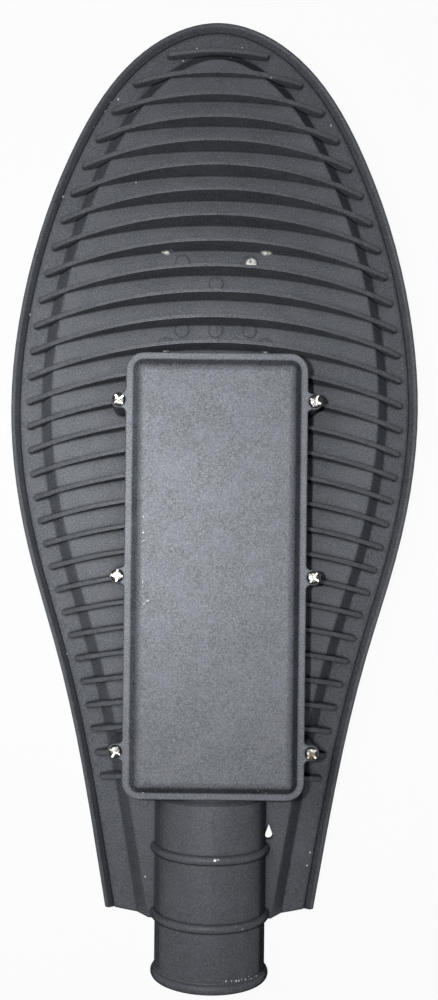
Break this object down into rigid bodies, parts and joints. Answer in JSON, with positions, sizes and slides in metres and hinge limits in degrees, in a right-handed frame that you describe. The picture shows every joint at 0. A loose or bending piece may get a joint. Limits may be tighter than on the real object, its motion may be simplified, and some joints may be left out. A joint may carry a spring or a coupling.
{
  "type": "led street light head",
  "caption": "Leaf-shaped cast LED street light head with curved cooling fins, a screwed driver box cover, a domed glass lens underneath and a pole socket.",
  "frame": {"origin": "centre of the pole socket's mouth, on the socket's axis", "axes": "+Y from the socket's mouth to the head's tip, +Z out of the finned back, +X to the right when the back is seen with the tip up"},
  "size_m": [0.2256, 0.523, 0.074],
  "materials": {
    "powder_coat": "dark grey fine-textured powder coat, speckled, worn to bare metal in spots",
    "cover_coat": "dark grey fine-textured powder coat",
    "zinc": "bright zinc-plated steel",
    "stainless": "plain stainless steel",
    "silicone": "soft grey silicone",
    "rubber": "black rubber",
    "driver_metal": "mill-finish aluminium",
    "potting": "dark grey filling compound",
    "driver_plastic": "off-white moulded plastic",
    "terminal_plastic": "ivory moulded plastic",
    "brass": "plain brass",
    "tinned": "tin-plated copper",
    "pad": "soft heat-conducting sheet",
    "lamp_plate": "bright aluminium",
    "phosphor": "yellow silicone over the light source",
    "reflector": "polished aluminium",
    "lens_glass": "clear pressed glass",
    "ring_coat": "dark grey powder coat"
  },
  "bodies": {
    "root": {"housing": "powder_coat", "driver_cover": "cover_coat", "cover_seal": "silicone", "cover_screws": "zinc", "driver_case": "driver_metal", "driver_potting": "potting", "driver_caps": "driver_plastic", "driver_screws": "zinc", "terminal_block": "terminal_plastic", "terminal_bars": "brass", "terminal_screws": "zinc", "terminal_fixing_screws": "zinc", "earth_lug": "tinned", "earth_screw": "zinc", "cable_grommet": "rubber", "clamp_screws": "stainless", "thermal_pad": "pad", "cob_plate": "lamp_plate", "cob_light": "phosphor", "cob_screws": "stainless", "reflector": "reflector", "lens_seal": "silicone", "lens": "lens_glass", "lens_ring": "ring_coat", "ring_screws": "stainless"}
  },
  "joints": []
}
